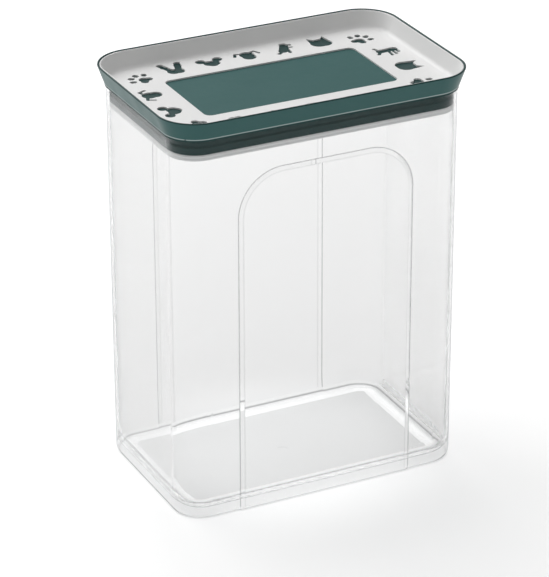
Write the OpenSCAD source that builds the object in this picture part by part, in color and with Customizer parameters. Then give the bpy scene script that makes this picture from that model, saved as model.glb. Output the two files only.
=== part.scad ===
// Pet food bin: a clear rectangular container closed by a plug lid.
// The lid is a green shell with a shallow dish on top, a pale tray that lines the dish and shows
// the shell through cut-out animal shapes, and a soft gasket pressed over the end of the plug.
// Z is up, X runs along the long side and -Y is the front.
// The origin is the centre of the base, on the surface that the bin stands on.

/* [Container] */
// Outside width at the rim
bin_w = 200; // [175:0.5:230]
// Outside depth at the rim
bin_d = 126; // [112:0.5:150]
// Height from the base to the rim
bin_h = 260.4; // [160:0.1:300]
// Outside corner radius at the rim
corner_r = 20.4; // [19:0.1:26]
// How far each side leans in from rim to base, so that the moulding leaves its tool
draft = 0.5; // [0.4:0.1:2]
// Wall thickness
wall = 2.0; // [1.6:0.1:2.6]
// Floor thickness
floor_t = 3.0; // [2:0.1:4]
// Radius of the outside edge round the base
foot_r = 3.0; // [1.5:0.1:4]
// Radius of the inside cove between floor and walls
cove_r = 14.0; // [8:0.5:16]

/* [Arched panels] */
// Half width of the raised panel where it meets the wall
arch_half = 60.7; // [40:0.1:64]
// Distance from the arch's crown up to the rim
arch_drop = 25.5; // [20:0.1:60]
// Radius of the arch's two top corners where they meet the wall
arch_r = 31; // [15:0.1:38]
// How far the panel stands out of the wall
arch_rise = 1.0; // [0.6:0.1:1.6]
// Width of the slope round the panel
arch_slope = 3.0; // [2:0.1:6]

/* [Lid] */
// How far the lid's lip stands out past the container on every side
lid_over = 5.0; // [4:0.1:8]
// Height of the lid above the container's rim
lid_h = 13.8; // [13.4:0.1:16]
// How far the foot of the sloping skirt is drawn in from the lip
skirt_in = 4.1; // [3.2:0.1:4.4]
// Thickness of the lid's lip
lip_t = 1.3; // [1.1:0.05:1.5]
// Thickness of the lid's floor
deck_t = 1.6; // [1.2:0.1:1.8]
// Height from the seat to the end of the plug
plug_h = 12.0; // [8.8:0.1:14]
// Thickness of the plug wall
plug_t = 1.3; // [1.0:0.1:1.6]

/* [Tray] */
// Thickness of the tray
tray_t = 1.0; // [0.8:0.1:1.2]
// Depth of the dish, from the lid's lip to the tray's floor
dish_depth = 11.5; // [10.5:0.1:11.8]
// Radius of the cove between the tray's floor and its sloping side
dish_r = 3.5; // [2.5:0.1:4.2]
// Length of the window in the middle
window_l = 133.8; // [90:0.1:140]
// Width of the window in the middle
window_w = 64.5; // [40:0.1:68]
// Corner radius of the window
window_r = 4.5; // [2:0.1:10]
// Distance from the middle to the long rows of cut-outs
row_y = 48.9; // [47.5:0.1:49.5]
// Distance from the middle to the short rows of cut-outs
row_x = 83.2; // [80:0.1:84]

/* [Gasket] */
// Thickness of the gasket's walls
gasket_t = 0.7; // [0.5:0.05:0.8]
// Height of the gasket
gasket_h = 3.7; // [3:0.1:4.5]
// Radius of each sealing bead
bead_r = 0.3; // [0.2:0.05:0.4]

/* [Display] */
// Which node to draw

/* [Hidden] */
$fn = 72;

// Axes of the four rounded corners, shared by every ring in the bin
axis_x = bin_w / 2 - corner_r;
axis_y = bin_d / 2 - corner_r;
foot_out = corner_r - draft;
arch_top = bin_h - arch_drop;
lean = atan(draft / bin_h);
// Rounding of the container's rim
rim_r = 0.8;
// Gap left between two parts of one body that slide or clip together
clear = 0.1;
// Overlap that joins two pieces of one solid, or runs a cutter past a face
bite = 1;

// Lid heights and radii, measured from the corner axes
lip_z = bin_h + lid_h;
lip_out = corner_r + lid_over;
pocket_z = lip_z - 0.8;
dish_z = lip_z - dish_depth;
deck_z = dish_z - tray_t - clear;
// The dish: centre of its cove, top of its side, and the slope of that side
cove_x = lip_out - 8.5;
cove_z = dish_z + dish_r;
side_x = lip_out - lip_t - clear - tray_t;
side_run = side_x - cove_x;
side_rise = pocket_z - cove_z;
side_len = sqrt(pow(side_run, 2) + pow(side_rise, 2));
side_turn = atan2(side_rise, side_run) + asin(dish_r / side_len);
skirt_gap = 1.3;
seat_out = corner_r + 0.7;
plug_out = corner_r - wall - 1.3;
plug_in = plug_out - plug_t;
plug_end = bin_h - plug_h;
ridge_out = plug_out + 0.7;
gasket_top = plug_end + gasket_h - gasket_t - 0.7;
gasket_low = gasket_top - gasket_h;
gasket_out = plug_out + clear + gasket_t;
gasket_in = plug_in - clear - gasket_t;

// --- Rings and rounded shapes ---

// Carries a 2D profile round the four corners and along the four sides.
// The profile's X is measured outward from the corner axes and its Y is height.
module ring() {
    for (turn = [0, 180]) {
        rotate([0, 0, turn]) {
            translate([axis_x, axis_y, 0])
                rotate_extrude(angle = 90)
                    children();
            translate([-axis_x, axis_y, 0])
                rotate([0, 0, 90])
                    rotate_extrude(angle = 90)
                        children();
            translate([axis_x, axis_y, 0])
                rotate([90, 0, 0])
                    linear_extrude(2 * axis_y)
                        children();
            translate([-axis_x, axis_y, 0])
                rotate([90, 0, 90])
                    linear_extrude(2 * axis_x)
                        children();
        }
    }
}

// The flat middle of a dished part, inside the corner axes.
module middle(low, high) {
    translate([-axis_x, -axis_y, low])
        cube([2 * axis_x, 2 * axis_y, high - low]);
}

// Box given by two opposite corners of its 2D outline.
module span(x0, y0, x1, y1) {
    translate([x0, y0])
        square([x1 - x0, y1 - y0]);
}

module disc(x, y, r) {
    translate([x, y])
        circle(r);
}

// Straight bar with round ends a little wider than its middle.
module bar(x0, y0, x1, y1, r) {
    len = sqrt(pow(x1 - x0, 2) + pow(y1 - y0, 2));
    waist = 0.94 * r;
    disc(x0, y0, r);
    disc(x1, y1, r);
    translate([x0, y0])
        rotate(atan2(y1 - y0, x1 - x0))
            translate([0, -waist])
                square([len, 2 * waist]);
}

module rounded_rect(l, w, r) {
    span(-l / 2 + r, -w / 2, l / 2 - r, w / 2);
    span(-l / 2, -w / 2 + r, l / 2, w / 2 - r);
    for (sx = [-1, 1])
        for (sy = [-1, 1])
            disc(sx * (l / 2 - r), sy * (w / 2 - r), r);
}

// --- Container ---

function out_at(z) = foot_out + draft * z / bin_h;

module wall_outside() {
    top = bin_h - rim_r;
    disc(out_at(foot_r) - foot_r, foot_r, foot_r);
    polygon([
        [0, 0],
        [out_at(foot_r) - foot_r, 0],
        [out_at(foot_r) - foot_r, foot_r],
        [out_at(foot_r), foot_r],
        [out_at(top), top],
        [0, top]
    ]);
}

module wall_inside() {
    bend_z = floor_t + cove_r;
    bend_x = out_at(bend_z) - wall - cove_r;
    disc(bend_x, bend_z, cove_r);
    polygon([
        [-bite, floor_t],
        [bend_x, floor_t],
        [bend_x, bend_z],
        [bend_x + cove_r, bend_z],
        [corner_r - wall, bin_h],
        [-bite, bin_h]
    ]);
}

module wall_profile() {
    rim_z = bin_h - rim_r;
    difference() {
        wall_outside();
        wall_inside();
    }
    disc(corner_r - rim_r, rim_z, rim_r);
    disc(corner_r - wall + rim_r, rim_z, rim_r);
    span(corner_r - wall + rim_r, rim_z - rim_r, corner_r - rim_r, bin_h);
}

// Raised panel in the plane of the wall: X across, Y up, Z outward.
module arch_border() {
    polygon([
        [-bite, -5],
        [-bite, arch_rise],
        [0, arch_rise],
        [arch_slope, 0],
        [arch_slope, -5]
    ]);
}

module arch_panel() {
    flat_half = arch_half - arch_slope;
    flat_top = arch_top - arch_slope;
    bend = arch_r - arch_slope;
    translate([0, 0, -5])
        linear_extrude(5 + arch_rise) {
            span(-flat_half, -bite, flat_half, flat_top - bend);
            span(-flat_half + bend, -bite, flat_half - bend, flat_top);
            disc(-flat_half + bend, flat_top - bend, bend);
            disc(flat_half - bend, flat_top - bend, bend);
        }
    for (side = [0, 1])
        mirror([side, 0, 0]) {
            translate([flat_half, -bite, 0])
                rotate([-90, 0, 0])
                    mirror([0, 1, 0])
                        linear_extrude(flat_top - bend + bite)
                            arch_border();
            translate([flat_half - bend, flat_top - bend, 0])
                rotate_extrude(angle = 90)
                    translate([bend, 0])
                        arch_border();
        }
    translate([-flat_half + bend, flat_top, 0])
        rotate([90, 0, 90])
            linear_extrude(2 * (flat_half - bend))
                arch_border();
}

// Keeps the panel inside the wall's thickness and rounds it under at the base.
module arch_limit() {
    deep = foot_r + 2;
    rotate([90, 0, 90])
        translate([0, 0, -arch_half - bite])
            linear_extrude(2 * (arch_half + bite)) {
                disc(foot_r, arch_rise - foot_r, foot_r);
                span(foot_r, -deep, 2 * foot_r, arch_rise);
                span(0, -deep, foot_r, arch_rise - foot_r);
                span(2 * foot_r, -wall / 2, arch_top + bite, arch_rise);
            }
}

module gate_mark() {
    translate([0, 0, -bite])
        cylinder(r = 3.4, h = bite + 0.4);
}

module container() {
    color([0.92, 0.94, 0.95, 0.4])
        difference() {
            union() {
                ring()
                    wall_profile();
                middle(0, floor_t);
                for (turn = [0, 180])
                    rotate([0, 0, turn])
                        translate([0, -axis_y - foot_out, 0])
                            rotate([90 + lean, 0, 0])
                                intersection() {
                                    arch_panel();
                                    arch_limit();
                                }
            }
            gate_mark();
        }
}

// --- Lid ---

// A point on the dish's cove or side, pushed out by a distance.
function cove_end(out) = [
    cove_x + (dish_r + out) * sin(side_turn),
    cove_z - (dish_r + out) * cos(side_turn)
];
function side_top(out) = [
    side_x + out * sin(side_turn),
    pocket_z - out * cos(side_turn)
];

module skirt_profile() {
    lip_mid = lip_z - lip_t / 2;
    lip_in = lip_out - lip_t;
    disc(lip_out - lip_t / 2, lip_mid, lip_t / 2);
    polygon([
        [plug_out, bin_h + skirt_gap],
        [lip_out - skirt_in, bin_h + skirt_gap],
        [lip_out, pocket_z],
        [lip_out, lip_mid],
        [lip_in, lip_mid],
        [lip_in, pocket_z],
        [plug_out, pocket_z]
    ]);
}

module plug_profile() {
    span(plug_in, plug_end, plug_out, bin_h + 0.6);
    polygon([
        [plug_out - 0.3, bin_h - 4],
        [plug_out, bin_h - 4],
        [ridge_out, bin_h - 5.2],
        [ridge_out, gasket_top + clear],
        [plug_out - 0.3, gasket_top + clear]
    ]);
}

// The space that the tray fills.
module pocket_profile() {
    out = tray_t + clear;
    disc(cove_x, cove_z, dish_r + out);
    polygon([
        [-bite, deck_z],
        [cove_x, deck_z],
        [cove_x, cove_z],
        cove_end(out),
        side_top(out),
        [side_top(out)[0], lip_z + bite],
        [-bite, lip_z + bite]
    ]);
}

module shell_profile() {
    difference() {
        union() {
            skirt_profile();
            plug_profile();
            span(plug_in, bin_h, seat_out, bin_h + 3);
            span(0, deck_z - deck_t, plug_out, bin_h + 1.6);
        }
        pocket_profile();
    }
}

module lid_shell() {
    color([0.16, 0.31, 0.31]) {
        ring()
            shell_profile();
        middle(deck_z - deck_t, deck_z);
    }
}

// --- Tray and its cut-outs ---

// Each shape stands upright on the page, about 16 mm tall and centred on the origin.
module paw() {
    disc(0, -2.8, 3.6);
    disc(-2.6, -4.7, 2.6);
    disc(2.6, -4.7, 2.6);
    for (side = [-1, 1]) {
        bar(side * 2.6, 4.6, side * 2.9, 5.6, 1.9);
        bar(side * 6.4, 0.8, side * 7.2, 1.7, 1.8);
    }
}

module rabbit_head() {
    for (side = [-1, 1]) {
        disc(side * 1.7, -4.4, 4.2);
        bar(side * 2.8, -1.8, side * 5.9, 7.9, 2.4);
        disc(side * 4.7, 4.0, 2.7);
    }
}

module mouse_head() {
    disc(0, -3.6, 3.9);
    for (side = [-1, 1]) {
        disc(side * 1.5, -2.0, 4.2);
        disc(side * 5.9, 2.8, 3.4);
    }
}

module hound_head() {
    disc(0, 1.0, 5.0);
    disc(0, -2.9, 4.6);
    for (side = [-1, 1]) {
        bar(side * 1.8, 3.2, side * 6.6, 4.9, 1.2);
        bar(side * 6.9, 4.6, side * 8.6, 0.8, 1.1);
    }
}

module cat_head() {
    for (side = [-1, 1]) {
        disc(side * 1.5, -1.7, 5.9);
        disc(side * 1.2, 1.4, 4.2);
        polygon([
            [side * 1.8, 4.6],
            [side * 5.8, 9.4],
            [side * 7.0, -0.8]
        ]);
    }
}

module seated_dog() {
    bar(1.6, 3.4, -2.2, -3.4, 3.2);
    disc(2.2, 6.3, 2.8);
    bar(3.2, 5.8, 6.0, 4.8, 1.5);
    bar(2.0, 0.8, 5.6, 0.6, 1.2);
    bar(1.8, -0.4, 1.0, -7.2, 1.4);
    bar(-3.4, -4.6, -6.6, -6.9, 1.4);
}

module standing_dog() {
    bar(-3.8, 1.6, 4.6, 2.2, 3.1);
    bar(-4.6, 3.2, -5.8, 7.0, 1.2);
    bar(-4.8, 0.4, -7.2, -2.8, 1.3);
    disc(6.0, 2.4, 2.7);
    bar(6.4, 1.4, 7.0, -2.8, 1.3);
    bar(1.2, 0.2, 0.5, -6.6, 1.2);
    bar(3.8, 0.4, 4.1, -5.6, 1.2);
}

// Cuts a shape through the tray's floor at x, y, turned anticlockwise by that many degrees.
module placed(x, y, turn) {
    translate([x, y, deck_z])
        rotate([0, 0, turn])
            linear_extrude(tray_t + bite)
                children();
}

module cut_outs() {
    step = 26.1;
    corner = [78.0, 42.3];
    placed(0, 0, 0)
        rounded_rect(window_l, window_w, window_r);
    placed(-2 * step, row_y, 0)
        rabbit_head();
    placed(-step, row_y, 0)
        mouse_head();
    placed(0, row_y, 0)
        hound_head();
    placed(step, row_y, 0)
        seated_dog();
    placed(2 * step, row_y, 0)
        cat_head();
    placed(2 * step, -row_y, 180)
        mouse_head();
    placed(step, -row_y, 180)
        hound_head();
    placed(0, -row_y, 180)
        cat_head();
    placed(-step, -row_y, 180)
        standing_dog();
    placed(-2 * step, -row_y, 180)
        rabbit_head();
    placed(-row_x, 14.6, 90)
        hound_head();
    placed(-row_x, -14.8, 90)
        mouse_head();
    placed(row_x, 15, 0)
        standing_dog();
    placed(row_x, -12.4, -90)
        cat_head();
    for (sx = [-1, 1])
        for (sy = [-1, 1])
            placed(sx * corner[0], sy * corner[1], sy > 0 ? -sx * 38 : 180 + sx * 38)
                paw();
}

module tray_profile() {
    far = 4 * dish_r;
    rim = (side_top(0) + side_top(tray_t)) / 2;
    span(0, dish_z - tray_t, cove_x, dish_z);
    intersection() {
        difference() {
            disc(cove_x, cove_z, dish_r + tray_t);
            disc(cove_x, cove_z, dish_r);
        }
        polygon([
            [cove_x, cove_z],
            [cove_x, cove_z - far],
            [cove_x + far, cove_z - far],
            [cove_x + far * sin(side_turn), cove_z - far * cos(side_turn)]
        ]);
    }
    polygon([
        cove_end(0),
        side_top(0),
        side_top(tray_t),
        cove_end(tray_t)
    ]);
    disc(rim[0], rim[1], tray_t / 2);
}

module tray() {
    color([0.93, 0.93, 0.92])
        difference() {
            union() {
                ring()
                    tray_profile();
                middle(dish_z - tray_t, dish_z);
            }
            cut_outs();
        }
}

// --- Gasket ---

module gasket_profile() {
    difference() {
        span(gasket_in, gasket_low, gasket_out, gasket_top);
        span(plug_in - clear, plug_end - clear, plug_out + clear, gasket_top + bite);
    }
    for (z = [gasket_low + 0.9, gasket_top - 0.8])
        disc(gasket_out, z, bead_r);
}

module gasket() {
    color([0.78, 0.79, 0.78])
        ring()
            gasket_profile();
}

container();
lid_shell();
tray();
gasket();
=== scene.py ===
"""Pet food bin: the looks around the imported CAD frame, in metres. Z is up and -Y is the front.

Every shape and place comes from the CAD. This script adds the camera, the materials, and a pale
stage with its lights.
"""

import math

import bpy
from mathutils import Matrix, Vector


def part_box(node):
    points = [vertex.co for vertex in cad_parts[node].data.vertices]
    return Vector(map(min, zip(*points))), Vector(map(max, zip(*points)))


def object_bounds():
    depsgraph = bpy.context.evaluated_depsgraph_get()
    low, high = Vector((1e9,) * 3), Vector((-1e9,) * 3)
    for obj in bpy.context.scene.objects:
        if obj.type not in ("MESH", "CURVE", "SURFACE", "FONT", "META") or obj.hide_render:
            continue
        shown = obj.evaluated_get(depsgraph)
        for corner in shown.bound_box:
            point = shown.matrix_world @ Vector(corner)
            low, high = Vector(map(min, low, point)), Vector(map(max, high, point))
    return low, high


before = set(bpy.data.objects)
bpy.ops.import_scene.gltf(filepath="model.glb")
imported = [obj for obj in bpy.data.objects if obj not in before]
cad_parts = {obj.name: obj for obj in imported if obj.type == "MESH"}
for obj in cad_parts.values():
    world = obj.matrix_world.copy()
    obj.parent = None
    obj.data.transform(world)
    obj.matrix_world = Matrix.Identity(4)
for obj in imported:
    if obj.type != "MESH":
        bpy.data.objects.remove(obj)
cad_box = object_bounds()
scene = bpy.context.scene

# --- Camera: a long lens, looking down on the front left corner ---

# Both in millimetres
SENSOR = 36.0
LENS = 194.5872
CLIP_NEAR, CLIP_FAR = 0.05, 60.0
AZIMUTH = math.radians(-26.204)
ELEVATION = math.radians(25.548)
ROLL = math.radians(-0.179)
DISTANCE = 2.0156
AIM = Vector((-0.0063, -0.0021, 0.1203))


def make_camera():
    data = bpy.data.cameras.new("camera")
    data.sensor_width = SENSOR
    data.lens = LENS
    data.clip_start, data.clip_end = CLIP_NEAR, CLIP_FAR
    camera = bpy.data.objects.new("camera", data)
    scene.collection.objects.link(camera)
    back = Vector(
        (
            math.sin(AZIMUTH) * math.cos(ELEVATION),
            -math.cos(AZIMUTH) * math.cos(ELEVATION),
            math.sin(ELEVATION),
        )
    )
    turn = (-back).to_track_quat("-Z", "Y").to_matrix().to_4x4()
    turn = turn @ Matrix.Rotation(ROLL, 4, "Z")
    camera.matrix_world = Matrix.Translation(AIM + back * DISTANCE) @ turn
    scene.camera = camera


make_camera()

# --- Sizes that the looks follow, in the CAD's own dimensions ---

BIN_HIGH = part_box("container")[1]
LIP_TOP = cad_box[1].z

# The raised arched panels: half width, corner radius and crown height at their foot, and the
# width of the slope up to their face
ARCH_HALF = 0.0607
ARCH_BEND = 0.031
ARCH_TOP = BIN_HIGH.z - 0.0255
ARCH_SLOPE = 0.003
# Y beyond which a point is on the outside of the front or back wall
WALL_OUTSIDE = BIN_HIGH.y - 0.0024
# Half widths of the painted shade lines at the foot and the crown of a panel's slope, and how
# strong the crown's is beside the foot's
FOOT_CREASE = 0.00055
CROWN_CREASE = 1.4 * FOOT_CREASE
CROWN_SHARE = 0.25

# The container's base: the top of its underside, the height and the inner half sizes of the
# painted shade line round its foot, and the height of the table's contact, where there is no line
BASE_TOP = 0.00305
FOOT_LINE = 0.0010
FOOT_HALF = (0.080, 0.045)
CONTACT = 0.00005
# The cove inside the base, which carries a painted highlight: its top, the normal's Z where the
# highlight starts and where the flat floor takes over, and the share of the way from that start
# to level at which it is full
COVE_TOP = 0.02
COVE_START = 0.82
COVE_END = 0.997
COVE_FULL = 0.5

# The lid: the foot of its skirt, the plug's top just below it, the height of the skirt's painted
# highlight, and that of the lip's painted dark line
SKIRT_FOOT = BIN_HIGH.z + 0.0013
SKIRT_START = SKIRT_FOOT - 0.0001
PLUG_TOP = SKIRT_FOOT - 0.0002
SKIRT_LINE = 0.0007
LIP_LINE = 0.0007
# Half sizes of the tray's window, and of the tray's flat round it
WINDOW_HALF = (0.0669, 0.03225)
TRAY_FLAT_HALF = (0.094, 0.059)

# --- Colours and finishes ---

# Green and white plastic: two shades that it drifts between, and its range of roughness
GREEN = ((0.034, 0.110, 0.105), (0.030, 0.099, 0.095))
GREEN_GLOSS = (0.3, 0.4)
WHITE = ((0.77, 0.77, 0.765), (0.75, 0.75, 0.745))
WHITE_GLOSS = (0.3, 0.42)
# Share of the dark green left where shade is painted, and what a painted highlight on its edge
# adds
HOLLOW_SHADE = 0.5
HIGHLIGHT_LIFT = 0.3
GRAIN_DEPTH = 0.00002

SILICONE = ((0.86, 0.87, 0.87), (0.84, 0.85, 0.85))

# Clear plastic where it bends light: its two shades, then towards the base, and the painted shade
# lines round the foot and in the panels' creases
CLEAR = ((0.89, 0.891, 0.891), (0.88, 0.881, 0.881))
LOW_TINT = (0.85, 0.85, 0.85)
FOOT_SHADE = (0.36, 0.365, 0.37)
CREASE_SHADE = (0.16, 0.165, 0.17)
BODY_TINT = (0.80, 0.83, 0.84)
BODY_DENSITY = 3.0
# Strength of the cove's painted highlight, a white glow though the plastic is no lamp
COVE_HIGHLIGHT = 0.22
# Clear plastic where light passes straight: square on, at the silhouette, where shade is painted,
# and in the base
WINDOW_TINT = (0.975, 0.977, 0.977)
EDGE_SHADE = (0.79, 0.795, 0.80)
BASE_TINT = (0.945, 0.946, 0.946)
# How steeply the silhouette's share rises, how much of the base is straight, and the depth past
# which every ray is
GRAZING_POWER = 6.0
GRAZING_GAIN = 4.0
BASE_UNBENT = 0.9
DEEP_RAY = 4.5

# --- Material nodes ---


class Graph:
    """One material's nodes, with short calls for the steps that the looks share."""

    def __init__(self, name):
        self.material = bpy.data.materials.new(name)
        self.material.use_nodes = True
        self.nodes = self.material.node_tree.nodes
        self.links = self.material.node_tree.links
        self.shader = self.nodes["Principled BSDF"]

    def feed(self, socket, source):
        """Joins a node's output to one of the main shader's sockets."""
        self.links.new(source, self.shader.inputs[socket])

    def fix(self, socket, value):
        """Gives one of the main shader's sockets a constant."""
        self.shader.inputs[socket].default_value = value

    def split(self, vector):
        """The X, Y and Z of a vector."""
        node = self.nodes.new("ShaderNodeSeparateXYZ")
        self.links.new(vector, node.inputs[0])
        return node.outputs

    def place(self):
        """X, Y and Z of a point in object coordinates, which are the shared frame's."""
        return self.split(self.nodes.new("ShaderNodeTexCoord").outputs["Object"])

    def noise(self, scale, detail=3.0, roughness=0.5):
        """Noise in object coordinates, so it stays put on every piece."""
        coords = self.nodes.new("ShaderNodeTexCoord")
        node = self.nodes.new("ShaderNodeTexNoise")
        node.inputs["Scale"].default_value = scale
        node.inputs["Detail"].default_value = detail
        node.inputs["Roughness"].default_value = roughness
        self.links.new(coords.outputs["Object"], node.inputs["Vector"])
        return node.outputs["Fac"]

    def ramp(self, value, low, high, start=0.3, end=0.7):
        """Maps a value onto a range of numbers, by default the middle of a noise."""
        node = self.nodes.new("ShaderNodeMapRange")
        node.inputs["From Min"].default_value = start
        node.inputs["From Max"].default_value = end
        node.inputs["To Min"].default_value = low
        node.inputs["To Max"].default_value = high
        self.links.new(value, node.inputs["Value"])
        return node.outputs["Result"]

    def mix(self, share, first, second):
        """The first colour giving way to the second. A colour is a socket or three numbers."""
        node = self.nodes.new("ShaderNodeMix")
        node.data_type = "RGBA"
        self.links.new(share, node.inputs["Factor"])
        for socket, colour in zip((node.inputs["A"], node.inputs["B"]), (first, second)):
            if isinstance(colour, tuple):
                socket.default_value = (*colour, 1.0)
            else:
                self.links.new(colour, socket)
        return node.outputs["Result"]

    def bump(self, height, depth, strength, under=None):
        """A normal roughened by a height, on top of another if one is given."""
        node = self.nodes.new("ShaderNodeBump")
        node.inputs["Strength"].default_value = strength
        node.inputs["Distance"].default_value = depth
        self.links.new(height, node.inputs["Height"])
        if under is not None:
            self.links.new(under, node.inputs["Normal"])
        return node.outputs["Normal"]

    def step(self, operation, first, second=None):
        """One step of arithmetic on sockets or plain numbers."""
        node = self.nodes.new("ShaderNodeMath")
        node.operation = operation
        for socket, value in zip(node.inputs, (first, second)):
            if isinstance(value, (int, float)):
                socket.default_value = value
            elif value is not None:
                self.links.new(value, socket)
        return node.outputs[0]

    def chain(self, operation, first, *others):
        """The same step of arithmetic over several values in turn."""
        for other in others:
            first = self.step(operation, first, other)
        return first

    def fall(self, distance, width):
        """1 at no distance, falling to 0 at that width."""
        share = self.step("DIVIDE", distance, width)
        return self.step("SUBTRACT", 1.0, self.step("MINIMUM", share, 1.0))

    def outside(self, place, half):
        """How far a point is outside a rectangle about the middle, in metres."""
        over = [
            self.step("SUBTRACT", self.step("ABSOLUTE", place[axis]), reach)
            for axis, reach in zip("XY", half)
        ]
        return self.step("MAXIMUM", *over)


# --- Where the looks change over a piece ---


def arch_distance(graph, place):
    """Distance out from the foot of the raised arched panels, less than 0 inside it."""
    step = graph.step
    across = step("SUBTRACT", step("ABSOLUTE", place["X"]), ARCH_HALF - ARCH_BEND)
    above = step("SUBTRACT", place["Z"], ARCH_TOP - ARCH_BEND)
    out_x, out_z = step("MAXIMUM", across, 0.0), step("MAXIMUM", above, 0.0)
    squares = step("ADD", step("POWER", out_x, 2.0), step("POWER", out_z, 2.0))
    inside = step("MINIMUM", step("MAXIMUM", across, above), 0.0)
    return step("SUBTRACT", step("ADD", step("SQRT", squares), inside), ARCH_BEND)


def panel_crease_shade(graph, place):
    """Painted shade: 1 in the crease round a raised panel, and fainter where its slope meets its
    face.
    """
    distance = arch_distance(graph, place)
    foot = graph.fall(graph.step("ABSOLUTE", distance), FOOT_CREASE)
    from_crown = graph.step("ABSOLUTE", graph.step("SUBTRACT", distance, -ARCH_SLOPE))
    crown = graph.step("MULTIPLY", graph.fall(from_crown, CROWN_CREASE), CROWN_SHARE)
    on_wall = graph.step("GREATER_THAN", graph.step("ABSOLUTE", place["Y"]), WALL_OUTSIDE)
    return graph.step("MULTIPLY", graph.step("MAXIMUM", foot, crown), on_wall)


def foot_shade_line(graph, place):
    """Painted shade: 1 round the foot where the container stands on the table, falling to 0 a
    little way up.
    """
    fade = graph.fall(place["Z"], FOOT_LINE)
    off_table = graph.step("GREATER_THAN", place["Z"], CONTACT)
    round_foot = graph.step("GREATER_THAN", graph.outside(place, FOOT_HALF), 0.0)
    return graph.chain("MULTIPLY", fade, off_table, round_foot)


def cove_painted_highlight(graph, place):
    """1 on the lower part of the cove inside the container, where a highlight is painted as a
    white glow, and 0 on the walls and on the flat floor."""
    normal = graph.nodes.new("ShaderNodeNewGeometry").outputs["Normal"]
    upward = graph.split(normal)["Z"]
    into = graph.step("DIVIDE", graph.step("SUBTRACT", upward, COVE_START), 1.0 - COVE_START)
    into = graph.step("MINIMUM", graph.step("MAXIMUM", into, 0.0), COVE_FULL)
    low = graph.step("LESS_THAN", place["Z"], COVE_TOP)
    off_flat = graph.step("LESS_THAN", upward, COVE_END)
    return graph.step("DIVIDE", graph.chain("MULTIPLY", into, low, off_flat), COVE_FULL)


def grazing_share(graph):
    """0 where the surface is seen square on, rising steeply to 1 at its silhouette."""
    facing = graph.nodes.new("ShaderNodeLayerWeight")
    facing.inputs["Blend"].default_value = 0.5
    steep = graph.step("POWER", facing.outputs["Facing"], GRAZING_POWER)
    return graph.step("MINIMUM", graph.step("MULTIPLY", steep, GRAZING_GAIN), 1.0)


def straight_share(graph, grazing, base):
    """How far light passes straight through the clear plastic: wholly for shadows, soft light and
    rays that have crossed many surfaces, and partly at the silhouette and in the base."""
    path = graph.nodes.new("ShaderNodeLightPath")
    deep = graph.step("GREATER_THAN", path.outputs["Ray Depth"], DEEP_RAY)
    unbent = graph.step("MULTIPLY", base, BASE_UNBENT)
    soft = (path.outputs["Is Shadow Ray"], path.outputs["Is Diffuse Ray"])
    return graph.chain("MAXIMUM", *soft, deep, grazing, unbent)


def lid_painted_shade(graph):
    """Painted shade: 1 on the parts of the green shell that little light reaches, the plug and
    the floor under the tray, and on the lip's top edge, which is painted as a dark line with
    them."""
    place = graph.place()
    plug = graph.step("LESS_THAN", place["Z"], PLUG_TOP)
    lip = graph.step("GREATER_THAN", place["Z"], LIP_TOP - LIP_LINE)
    beside_window = graph.step("GREATER_THAN", graph.outside(place, WINDOW_HALF), 0.0)
    within_flat = graph.step("LESS_THAN", graph.outside(place, TRAY_FLAT_HALF), 0.0)
    under_tray = graph.step("MULTIPLY", within_flat, beside_window)
    return graph.chain("MAXIMUM", plug, lip, under_tray)


def skirt_painted_highlight(graph):
    """1 on the thin lower edge of the lid's skirt, where a highlight is painted into the colour.
    """
    place = graph.place()
    above = graph.step("GREATER_THAN", place["Z"], SKIRT_START)
    below = graph.step("LESS_THAN", place["Z"], SKIRT_FOOT + SKIRT_LINE)
    beyond_flat = graph.step("GREATER_THAN", graph.outside(place, TRAY_FLAT_HALF), 0.0)
    return graph.chain("MULTIPLY", above, below, beyond_flat)


# --- Materials ---


def moulded(name, shades, gloss, painted_shade=None, painted_highlight=None):
    """Opaque moulded plastic: faint colour drift, uneven gloss and a fine spark-eroded grain.
    painted_shade and painted_highlight, if given, say where shade and a highlight are painted
    into the colour."""
    graph = Graph(name)
    light, dark = shades
    colour = graph.mix(graph.noise(scale=22.0, detail=4.0), light, dark)
    # Painted shade: the colour deepens where little light reaches
    if painted_shade is not None:
        deep = tuple(HOLLOW_SHADE * channel for channel in dark)
        colour = graph.mix(painted_shade(graph), colour, deep)
    # Painted highlight: the colour is lifted on the skirt's lower edge
    if painted_highlight is not None:
        pale = tuple(HIGHLIGHT_LIFT + channel for channel in light)
        colour = graph.mix(painted_highlight(graph), colour, pale)
    graph.feed("Base Color", colour)
    handled = graph.noise(scale=60.0, detail=5.0, roughness=0.6)
    graph.feed("Roughness", graph.ramp(handled, *gloss))
    wave = graph.bump(graph.noise(scale=35.0, detail=2.0), depth=0.00006, strength=0.35)
    grain = graph.noise(scale=2600.0, detail=2.0)
    graph.feed("Normal", graph.bump(grain, GRAIN_DEPTH, strength=0.5, under=wave))
    graph.fix("IOR", 1.49)
    graph.fix("Specular IOR Level", 0.2)
    return graph.material


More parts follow.
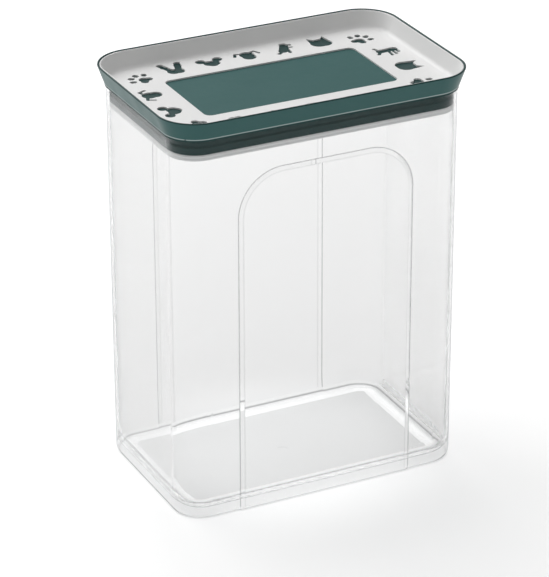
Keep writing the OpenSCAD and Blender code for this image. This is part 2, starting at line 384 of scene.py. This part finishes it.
def clear_plastic():
    """Polished clear plastic: a grey tint that deepens with thickness and towards the base, faint
    flow waves and wiping marks, painted shade lines in the creases round the raised panels and
    round the foot, and a painted highlight glowing on the cove inside. It is a bending medium
    mixed with a plain tinted window, so that lamps shine through it without caustics; the window
    carries painted shade at the silhouette and round the foot."""
    graph = Graph("clear_plastic")
    place = graph.place()
    foot = foot_shade_line(graph, place)
    grazing = grazing_share(graph)
    base = graph.step("LESS_THAN", place["Z"], BASE_TOP)

    tint = graph.mix(graph.noise(scale=9.0, detail=2.0), *CLEAR)
    height = graph.step("DIVIDE", place["Z"], BIN_HIGH.z)
    tint = graph.mix(graph.step("SUBTRACT", 1.0, height), tint, LOW_TINT)
    # Painted shade line round the foot
    tint = graph.mix(foot, tint, FOOT_SHADE)
    # Painted shade: the tint darkens in the panels' creases
    tint = graph.mix(panel_crease_shade(graph, place), tint, CREASE_SHADE)
    graph.feed("Base Color", tint)
    # The cove's painted highlight: the plastic glows white there
    graph.fix("Emission Color", (1.0, 1.0, 1.0, 1.0))
    graph.feed("Emission Strength", graph.step("MULTIPLY", cove_painted_highlight(graph, place), COVE_HIGHLIGHT))
    graph.fix("Transmission Weight", 1.0)
    graph.fix("IOR", 1.3)
    graph.fix("Specular Tint", (0.5, 0.5, 0.5, 1.0))
    wiped = graph.noise(scale=90.0, detail=6.0, roughness=0.65)
    graph.feed("Roughness", graph.ramp(wiped, 0.004, 0.012))
    flow = graph.noise(scale=14.0, detail=1.0)
    graph.feed("Normal", graph.bump(flow, depth=0.0001, strength=0.1))

    # Painted shade: the window darkens towards the silhouette
    pane = graph.mix(grazing, WINDOW_TINT, EDGE_SHADE)
    pane = graph.mix(base, pane, BASE_TINT)
    # The same painted shade line round the foot, in the window and so in the shadow it casts
    pane = graph.mix(foot, pane, FOOT_SHADE)
    window = graph.nodes.new("ShaderNodeBsdfTransparent")
    graph.links.new(pane, window.inputs["Color"])

    either = graph.nodes.new("ShaderNodeMixShader")
    graph.links.new(straight_share(graph, grazing, base), either.inputs["Fac"])
    graph.links.new(graph.shader.outputs["BSDF"], either.inputs[1])
    graph.links.new(window.outputs["BSDF"], either.inputs[2])
    body = graph.nodes.new("ShaderNodeVolumeAbsorption")
    body.inputs["Color"].default_value = (*BODY_TINT, 1.0)
    body.inputs["Density"].default_value = BODY_DENSITY
    output = graph.nodes["Material Output"]
    graph.links.new(either.outputs["Shader"], output.inputs["Surface"])
    graph.links.new(body.outputs["Volume"], output.inputs["Volume"])
    return graph.material


def silicone():
    """Matt pale rubber, a little dusty."""
    graph = Graph("silicone")
    graph.feed("Base Color", graph.mix(graph.noise(scale=30.0), *SILICONE))
    dusty = graph.noise(scale=300.0, detail=4.0)
    graph.feed("Roughness", graph.ramp(dusty, 0.5, 0.65))
    grain = graph.noise(scale=1800.0, detail=2.0)
    graph.feed("Normal", graph.bump(grain, depth=0.00003, strength=0.5))
    return graph.material


def dress():
    """Gives every CAD node its material."""
    looks = {
        "container": clear_plastic(),
        "lid_shell": moulded("green_plastic", GREEN, GREEN_GLOSS, lid_painted_shade, skirt_painted_highlight),
        "tray": moulded("white_plastic", WHITE, WHITE_GLOSS),
        "gasket": silicone(),
    }
    for name, material in looks.items():
        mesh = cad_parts[name].data
        mesh.materials.clear()
        mesh.materials.append(material)


dress()

# --- Stage: a pale floor with a faint glow, a surround that is brightest at the horizon, one
# large soft light from the back, and a small fill inside the bin ---

FLOOR_SIDE = 30.0
FLOOR_DROP = 0.0002
FLOOR = ((0.70, 0.70, 0.70), (0.69, 0.69, 0.69))
FLOOR_GLOW = 0.42
# The surround's strength at the horizon and above, and where it changes over (the view's Z)
SKY_LOW, SKY_HIGH = 0.75, 0.34
SKY_CHANGE = (0.03, 0.2)
KEY_PLACE = Vector((-0.35, 1.4, 2.1))
KEY_SIDE = 2.4
KEY_WATTS = 62.0
FILL_PLACE = Vector((0.0, 0.0, 0.24))
FILL_WATTS = 0.8
FILL_RADIUS = 0.03
FILL_SPREAD = math.radians(50.0)
FILL_BLEND = 0.6


def floor_material():
    graph = Graph("stage_floor")
    graph.feed("Base Color", graph.mix(graph.noise(scale=1.5, detail=2.0), *FLOOR))
    graph.fix("Roughness", 0.7)
    graph.fix("Specular IOR Level", 0.2)
    graph.fix("Emission Color", (1.0, 1.0, 1.0, 1.0))
    graph.fix("Emission Strength", FLOOR_GLOW)
    return graph.material


def make_floor():
    half = FLOOR_SIDE / 2
    mesh = bpy.data.meshes.new("stage_floor")
    corners = [(-half, -half, 0), (half, -half, 0), (half, half, 0), (-half, half, 0)]
    mesh.from_pydata(corners, [], [(0, 1, 2, 3)])
    mesh.materials.append(floor_material())
    floor = bpy.data.objects.new("stage_floor", mesh)
    floor.location.z = -FLOOR_DROP
    scene.collection.objects.link(floor)


def make_surround():
    """A sky that is brightest at the horizon, to meet the floor, and dimmer above it."""
    world = bpy.data.worlds.new("surround")
    world.use_nodes = True
    nodes, links = world.node_tree.nodes, world.node_tree.links
    coords = nodes.new("ShaderNodeTexCoord")
    split = nodes.new("ShaderNodeSeparateXYZ")
    links.new(coords.outputs["Generated"], split.inputs[0])
    fade = nodes.new("ShaderNodeMapRange")
    fade.inputs["From Min"].default_value, fade.inputs["From Max"].default_value = SKY_CHANGE
    fade.inputs["To Min"].default_value = SKY_LOW
    fade.inputs["To Max"].default_value = SKY_HIGH
    links.new(split.outputs["Z"], fade.inputs["Value"])
    background = nodes["Background"]
    background.inputs["Color"].default_value = (1.0, 1.0, 1.0, 1.0)
    links.new(fade.outputs["Result"], background.inputs["Strength"])
    scene.world = world


def key_light(target):
    data = bpy.data.lights.new("key", "AREA")
    data.shape = "SQUARE"
    data.size = KEY_SIDE
    data.energy = KEY_WATTS
    light = bpy.data.objects.new("key", data)
    scene.collection.objects.link(light)
    turn = (target - KEY_PLACE).to_track_quat("-Z", "Y").to_matrix().to_4x4()
    light.matrix_world = Matrix.Translation(KEY_PLACE) @ turn


def inner_fill():
    """A small spot inside the container, standing in for light that its walls scatter onto its
    floor."""
    data = bpy.data.lights.new("inner_fill", "SPOT")
    data.energy = FILL_WATTS
    data.shadow_soft_size = FILL_RADIUS
    data.spot_size = FILL_SPREAD
    data.spot_blend = FILL_BLEND
    light = bpy.data.objects.new("inner_fill", data)
    light.location = FILL_PLACE
    light.visible_camera = light.visible_glossy = light.visible_transmission = False
    scene.collection.objects.link(light)


make_floor()
make_surround()
key_light(target=(cad_box[0] + cad_box[1]) / 2)
inner_fill()
scene.view_settings.view_transform = "Standard"
